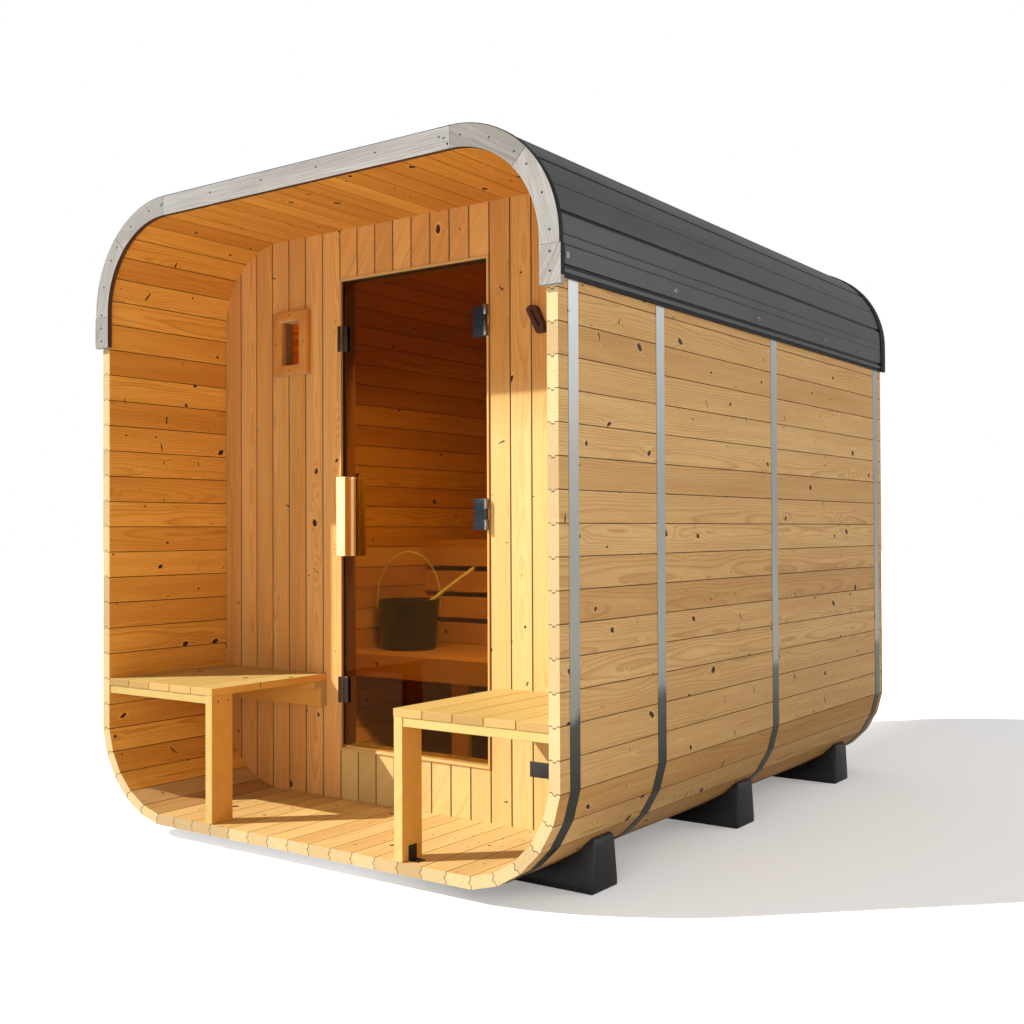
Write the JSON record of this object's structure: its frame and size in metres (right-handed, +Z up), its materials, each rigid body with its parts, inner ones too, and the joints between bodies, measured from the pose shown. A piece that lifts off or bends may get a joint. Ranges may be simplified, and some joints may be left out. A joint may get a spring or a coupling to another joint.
{
  "type": "cube sauna",
  "caption": "Rounded-square wooden sauna cabin of steel-banded staves with an open porch, glass door, seats and ribbed metal roof.",
  "frame": {"origin": "on the ground, under the centre of the bounding box", "axes": "+Z up; the front with the porch faces -Y; +X is the hinge side of the door, to the right seen from the front"},
  "size_m": [2.2224, 2.864, 2.4444],
  "materials": {
    "stave_wood": "satin",
    "wall_wood": "satin",
    "steel_band": "satin",
    "saddle_plastic": "matte",
    "roof_steel": "satin",
    "edge_steel": "satin",
    "grey_wood": "matte",
    "frame_wood": "satin",
    "hinge_steel": "satin",
    "black_plastic": "satin",
    "bench_wood": "satin",
    "pail_black": "satin",
    "dark_wood": "satin",
    "door_glazing": "gloss"
  },
  "bodies": {
    "root": {"floor_staves": "stave_wood", "ceiling_staves": "stave_wood", "left_wall_staves": "stave_wood", "right_wall_staves": "stave_wood", "lower_left_corner_staves": "stave_wood", "lower_right_corner_staves": "stave_wood", "upper_left_corner_staves": "stave_wood", "upper_right_corner_staves": "stave_wood", "front_wall_left": "wall_wood", "front_wall_right": "wall_wood", "front_wall_over_door": "wall_wood", "front_wall_under_door": "wall_wood", "rear_wall": "wall_wood", "front_hoop": "steel_band", "porch_hoop": "steel_band", "room_hoop": "steel_band", "rear_hoop": "steel_band", "front_saddle": "saddle_plastic", "middle_saddle": "saddle_plastic", "rear_saddle": "saddle_plastic", "roof_battens": "wall_wood", "left_roof_sheet": "roof_steel", "top_roof_sheet": "roof_steel", "right_roof_sheet": "roof_steel", "eave_strips": "edge_steel", "roof_rear_trim": "edge_steel", "left_front_trim": "grey_wood", "top_front_trim": "grey_wood", "right_front_trim": "grey_wood", "front_edge_strip": "edge_steel", "frame_hinge_jamb": "frame_wood", "frame_latch_jamb": "frame_wood", "frame_head": "frame_wood", "frame_sill": "frame_wood", "hinge_barrels": "hinge_steel", "catch_keepers": "black_plastic", "left_porch_seat": "bench_wood", "left_porch_seat_frame": "bench_wood", "right_porch_seat": "bench_wood", "right_porch_seat_frame": "bench_wood", "seat_foot_bracket": "hinge_steel", "low_bench_seat": "bench_wood", "low_bench_frame": "bench_wood", "high_bench_seat": "bench_wood", "high_bench_frame": "bench_wood", "high_bench_skirt": "bench_wood", "pail": "pail_black", "pail_bail": "bench_wood", "ladle": "bench_wood", "vent_frame": "wall_wood", "wall_peg": "dark_wood"},
    "door": {"door_glass": "door_glazing", "hinge_clamps": "hinge_steel", "door_handle": "bench_wood", "door_catches": "black_plastic"}
  },
  "joints": [
    {"name": "door_hinge", "type": "hinge", "parent": "root", "child": "door", "pos_m": [0.379, -0.828, 0], "axis": [0, 0, 1], "range_deg": [0, 90]}
  ]
}
